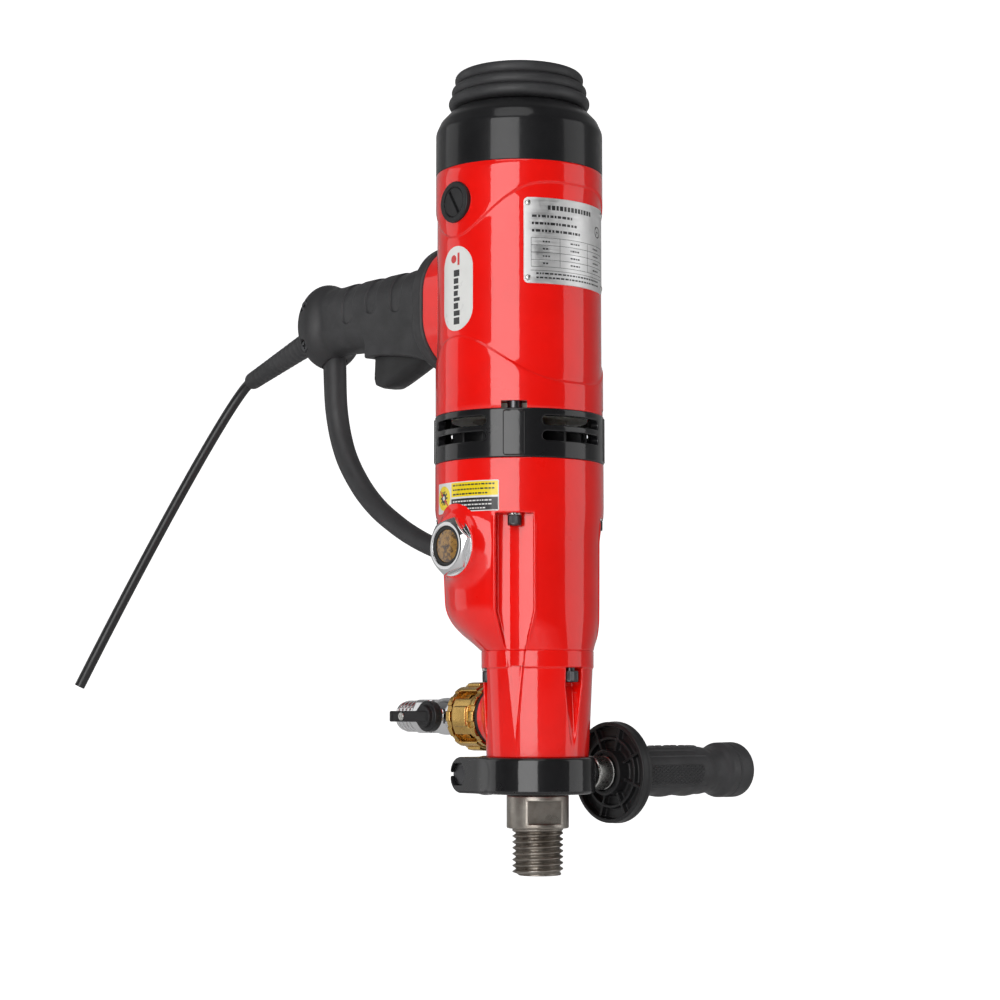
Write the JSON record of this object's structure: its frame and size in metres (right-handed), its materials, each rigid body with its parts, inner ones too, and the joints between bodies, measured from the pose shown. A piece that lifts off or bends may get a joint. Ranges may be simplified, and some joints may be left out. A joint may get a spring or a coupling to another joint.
{
  "type": "hand-held core drill",
  "caption": "Upright hand-held wet core drill: motor and gearbox column, threaded spindle below, trigger handle with brace bar, side handle on a collar, claw coupling with water valve.",
  "frame": {"origin": "spindle axis at the shoulder face that a core bit seats on", "axes": "+Z from the core bit towards the rear of the motor, -X towards the main handle, +Y towards the side handle"},
  "size_m": [0.4363, 0.275, 0.51],
  "materials": {
    "grip_rubber": "matte soft overmould",
    "black_cover": "satin gloss moulded plastic",
    "zinc_steel": "zinc plated",
    "red_enamel": "high gloss enamel",
    "cream_plastic": "moulded",
    "black_enamel": "gloss black paint on cast metal",
    "dark_steel": "black oxide",
    "cast_aluminium": "cast and machined",
    "plate_aluminium": "brushed sheet",
    "white_vinyl": "satin film",
    "label_yellow": "satin film",
    "black_plastic": "fine textured moulded plastic",
    "valve_brass": "machined and tumbled",
    "carbon": "sintered carbon",
    "core_steel": "stacked laminations",
    "copper_wire": "enamelled wire",
    "bearing_steel": "ground steel",
    "spindle_steel": "oiled, turned and milled",
    "seal_rubber": "moulded",
    "chrome_plate": "polished",
    "amber_glass": "tinted, polished",
    "cord_jacket": "glossy jacket"
  },
  "bodies": {
    "machine": {"rear_bumper": "grip_rubber", "rear_cover": "black_cover", "rear_cover_screws": "zinc_steel", "motor_housing": "red_enamel", "air_baffle": "cream_plastic", "vent_ring": "black_enamel", "gearbox_case": "red_enamel", "gearbox_screws": "dark_steel", "spring_washers": "zinc_steel", "screw_sleeves": "dark_steel", "bearing_plate": "cast_aluminium", "nose_housing": "red_enamel", "nose_screws": "dark_steel", "nameplate": "plate_aluminium", "nameplate_rivets": "zinc_steel", "badge_sticker": "white_vinyl", "gear_label": "label_yellow", "brush_caps": "black_plastic", "brush_holders": "valve_brass", "carbon_brushes": "carbon", "brush_springs": "zinc_steel", "stator_core": "core_steel", "field_windings": "copper_wire", "shaft_bearings": "bearing_steel", "seals": "seal_rubber", "sight_glass_nut": "chrome_plate", "sight_glass_lens": "amber_glass", "handle_saddle": "red_enamel", "handle_shell_left": "grip_rubber", "handle_shell_right": "grip_rubber", "handle_screws": "dark_steel", "switch_body": "black_plastic", "trigger_spring": "zinc_steel", "brace_bar": "grip_rubber", "brace_set_screw": "dark_steel", "strain_relief": "grip_rubber", "power_cord": "cord_jacket", "claw_coupling_fixed": "valve_brass", "claw_coupling_loose": "valve_brass", "water_valve_body": "chrome_plate"},
    "armature": {"armature_shaft": "bearing_steel", "armature_core": "core_steel", "armature_windings": "copper_wire", "commutator": "copper_wire", "fan": "black_plastic"},
    "layshaft": {"countershaft": "bearing_steel", "counter_gear": "bearing_steel"},
    "spindle_unit": {"spindle": "spindle_steel", "output_gear": "bearing_steel"},
    "trigger_unit": {"trigger": "black_plastic"},
    "lock_button_unit": {"lock_button": "black_plastic"},
    "gear_selector": {"gear_knob": "black_plastic"},
    "valve_lever_unit": {"water_valve_lever": "black_plastic", "valve_ball_stem": "chrome_plate"},
    "collar_unit": {"collar_clamp": "black_enamel", "collar_bolt_and_nut": "dark_steel", "side_handle_stud": "zinc_steel", "side_handle_spacer": "zinc_steel", "hand_guard": "black_plastic", "side_grip": "grip_rubber"}
  },
  "joints": [
    {"name": "armature_spin", "type": "hinge", "parent": "machine", "child": "armature", "pos_m": [-0.017, 0, 0.3], "axis": [0, 0, 1], "continuous": true},
    {"name": "layshaft_spin", "type": "hinge", "parent": "machine", "child": "layshaft", "pos_m": [-0.04, 0, 0.18], "axis": [0, 0, 1], "continuous": true},
    {"name": "spindle_spin", "type": "hinge", "parent": "machine", "child": "spindle_unit", "pos_m": [0, 0, 0], "axis": [0, 0, 1], "continuous": true},
    {"name": "trigger_squeeze", "type": "hinge", "parent": "machine", "child": "trigger_unit", "pos_m": [-0.092, 0, 0.318], "axis": [0, 1, 0], "range_deg": [0, 7], "stiffness_Nm_per_rad": 0.8, "springref_deg": -8.59, "deforming": ["trigger_spring"]},
    {"name": "lock_press", "type": "slide", "parent": "machine", "child": "lock_button_unit", "axis": [0, -1, 0], "range_m": [0, 0.003], "stiffness_N_per_m": 150, "springref_m": -0.001},
    {"name": "gear_select", "type": "hinge", "parent": "machine", "child": "gear_selector", "pos_m": [-0.017, 0.05, 0.1816], "axis": [0, 1, 0], "range_deg": [-60, 60]},
    {"name": "valve_turn", "type": "hinge", "parent": "machine", "child": "valve_lever_unit", "pos_m": [-0.086, 0, 0.069], "axis": [0, 1, 0], "range_deg": [0, 90]},
    {"name": "collar_swivel", "type": "hinge", "parent": "machine", "child": "collar_unit", "pos_m": [0, 0, 0.0333], "axis": [0, 0, 1], "range_deg": [-180, 30]}
  ],
  "couplings": [
    {"joint": "layshaft_spin", "follows": "armature_spin", "ratio": -0.24324},
    {"joint": "spindle_spin", "follows": "armature_spin", "ratio": 0.094595}
  ]
}
